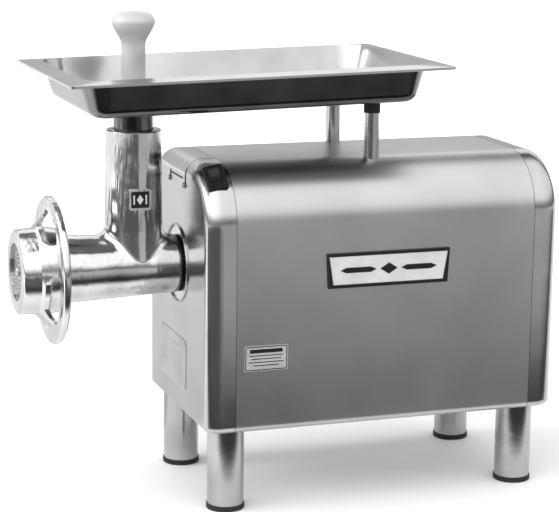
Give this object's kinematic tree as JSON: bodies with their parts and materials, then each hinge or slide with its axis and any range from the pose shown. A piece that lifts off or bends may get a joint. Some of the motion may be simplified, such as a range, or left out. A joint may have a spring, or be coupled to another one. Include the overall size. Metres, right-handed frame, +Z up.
{
  "type": "electric meat grinder",
  "caption": "Bench-top electric meat grinder: steel casing on tube legs, cast grinding head with handwheel ring nut, feed pan on posts and a stomper.",
  "frame": {"origin": "on the table, under the middle of the whole machine", "axes": "+X from the grinding outlet to the back of the casing, the badge side faces -Y, +Z up"},
  "size_m": [0.702, 0.311, 0.635],
  "materials": {
    "satin_steel": "satin, fine upright grain",
    "cap_steel": "polished",
    "pan_steel": "polished",
    "tube_steel": "polished",
    "tinned_cast": "tinned and buffed",
    "machined_steel": "machined",
    "grey_iron": "as cast, painted grey",
    "cast_alloy": "cast",
    "core_steel": "stacked laminations",
    "winding": "varnished copper wire",
    "motor_paint": "enamel",
    "rubber_black": "matt",
    "switch_black": "fine texture",
    "stomper_white": "turned",
    "label_print": "printed foil",
    "badge_black": "gloss enamel",
    "badge_silver": "satin",
    "fibre": "pressed fibre"
  },
  "bodies": {
    "casing": {"casing_wrapper": "satin_steel", "front_cap": "cap_steel", "rear_cap": "cap_steel", "base_plate": "satin_steel", "access_cover": "cap_steel", "access_screws": "machined_steel", "hub_trim_ring": "tube_steel", "data_plate": "label_print", "badge_frame": "badge_black", "badge_plate": "badge_silver", "side_label": "label_print", "switch_bezel": "switch_black", "switch_body": "switch_black", "leg_bolts": "machined_steel", "pan_post_near": "tube_steel", "pan_post_far": "tube_steel", "post_cap_near": "rubber_black", "post_cap_far": "rubber_black", "post_nuts": "machined_steel", "grinding_cylinder": "tinned_cast", "grinding_plate": "machined_steel", "thrust_washer": "fibre", "gear_case": "grey_iron", "gear_case_cover": "grey_iron", "gear_case_bolts": "machined_steel", "shaft_seal": "rubber_black", "output_bearings": "machined_steel", "counter_bearings": "machined_steel", "stator_core": "core_steel", "stator_windings": "winding", "motor_shell": "motor_paint", "motor_end_bell": "cast_alloy", "motor_bearings": "machined_steel", "motor_cradle": "grey_iron", "run_capacitor": "switch_black", "motor_contactor": "switch_black", "cord_gland": "switch_black", "leg_1": "tube_steel", "foot_1": "rubber_black", "leg_2": "tube_steel", "foot_2": "rubber_black", "leg_3": "tube_steel", "foot_3": "rubber_black", "leg_4": "tube_steel", "foot_4": "rubber_black"},
    "rotor": {"rotor_core": "core_steel", "rotor_shaft": "machined_steel", "motor_fan": "cast_alloy"},
    "output": {"worm": "tinned_cast", "worm_stud": "machined_steel", "knife": "machined_steel", "output_shaft": "machined_steel", "output_gear": "machined_steel"},
    "counter": {"counter_shaft": "machined_steel", "counter_gear": "machined_steel"},
    "switch_rocker": {"switch_rocker": "switch_black"},
    "ring_nut": {"ring_nut": "tinned_cast"},
    "stomper": {"stomper": "stomper_white"},
    "feed_pan": {"feed_pan": "pan_steel", "pan_collar": "pan_steel"}
  },
  "joints": [
    {"name": "rotor_spin", "type": "hinge", "parent": "casing", "child": "rotor", "pos_m": [0.1, 0, 0.198], "axis": [1, 0, 0], "continuous": true},
    {"name": "counter_spin", "type": "hinge", "parent": "casing", "child": "counter", "pos_m": [-0.06, 0.04696, 0.24], "axis": [1, 0, 0], "continuous": true},
    {"name": "worm_spin", "type": "hinge", "parent": "casing", "child": "output", "pos_m": [-0.2, 0, 0.306], "axis": [1, 0, 0], "continuous": true},
    {"name": "switch_rock", "type": "hinge", "parent": "casing", "child": "switch_rocker", "pos_m": [-0.11527, -0.10085, 0.43205], "axis": [-0.9703, 0.1388, -0.1982], "range_deg": [0, 18]},
    {"name": "ring_nut_turn", "type": "hinge", "parent": "casing", "child": "ring_nut", "pos_m": [-0.32, 0, 0.306], "axis": [-1, 0, 0], "range_deg": [0, 1050]},
    {"name": "stomper_lift", "type": "slide", "parent": "casing", "child": "stomper", "axis": [0, 0, 1], "range_m": [0, 0.16]},
    {"name": "pan_lift", "type": "slide", "parent": "casing", "child": "feed_pan", "axis": [0, 0, 1], "range_m": [0, 0.045]}
  ],
  "couplings": [
    {"joint": "counter_spin", "follows": "rotor_spin", "ratio": -0.33333},
    {"joint": "worm_spin", "follows": "rotor_spin", "ratio": 0.11111}
  ]
}
